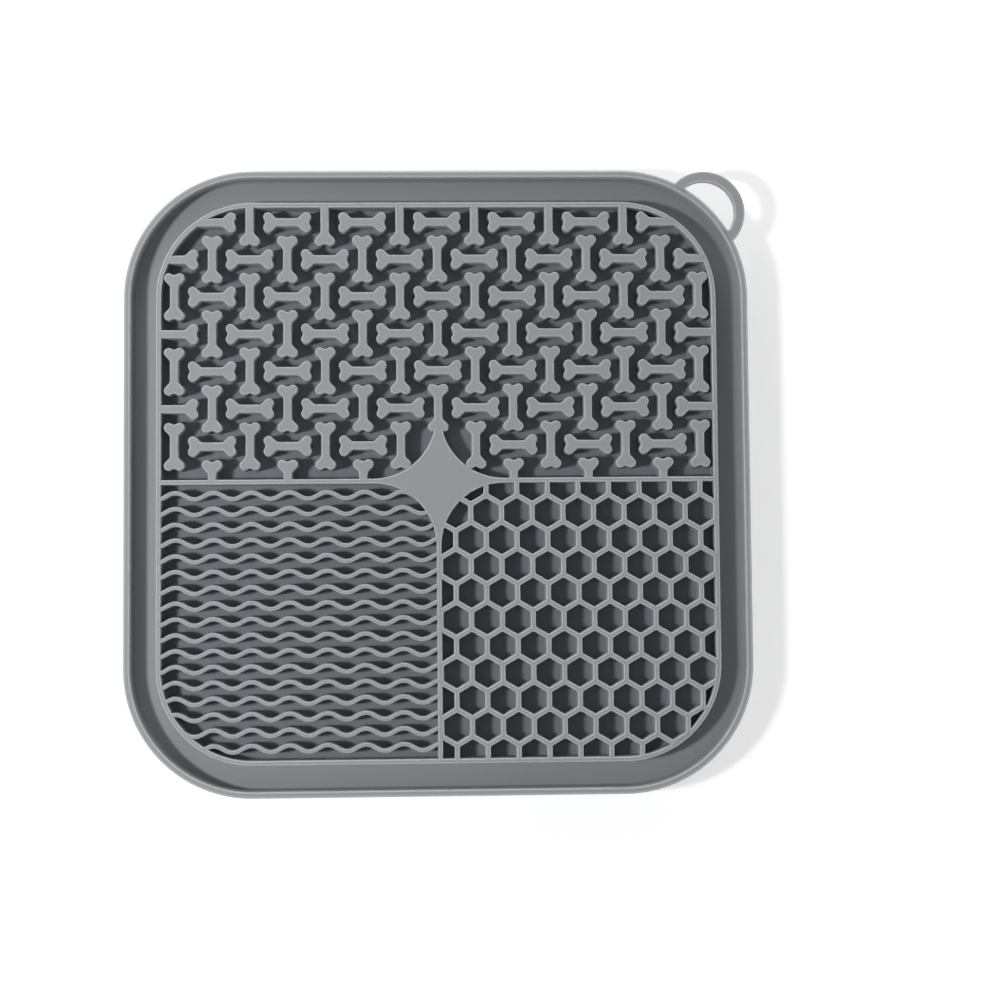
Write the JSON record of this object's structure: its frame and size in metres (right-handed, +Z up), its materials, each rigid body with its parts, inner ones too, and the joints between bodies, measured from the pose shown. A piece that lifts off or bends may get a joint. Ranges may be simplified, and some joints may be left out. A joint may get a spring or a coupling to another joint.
{
  "type": "lick mat",
  "caption": "Square rounded silicone lick mat with a lip and gutter, bone, wave and honeycomb textured fields round a star, a hanging loop and suction cups.",
  "frame": {"origin": "middle of the mat, on the surface that the suction cups' lips stand on", "axes": "+Z up out of the textured side, +Y towards the back edge and the loop's corner, +X to the right"},
  "size_m": [0.2, 0.2, 0.01],
  "materials": {
    "grey_silicone": "matte moulded silicone"
  },
  "bodies": {
    "root": {"base_sheet": "grey_silicone", "outer_lip": "grey_silicone", "inner_ridge": "grey_silicone", "center_star": "grey_silicone", "divider_right": "grey_silicone", "divider_left": "grey_silicone", "divider_front": "grey_silicone", "bone_studs": "grey_silicone", "wave_ribs": "grey_silicone", "honeycomb": "grey_silicone", "hanging_loop": "grey_silicone", "suction_cups": "grey_silicone"}
  },
  "joints": []
}
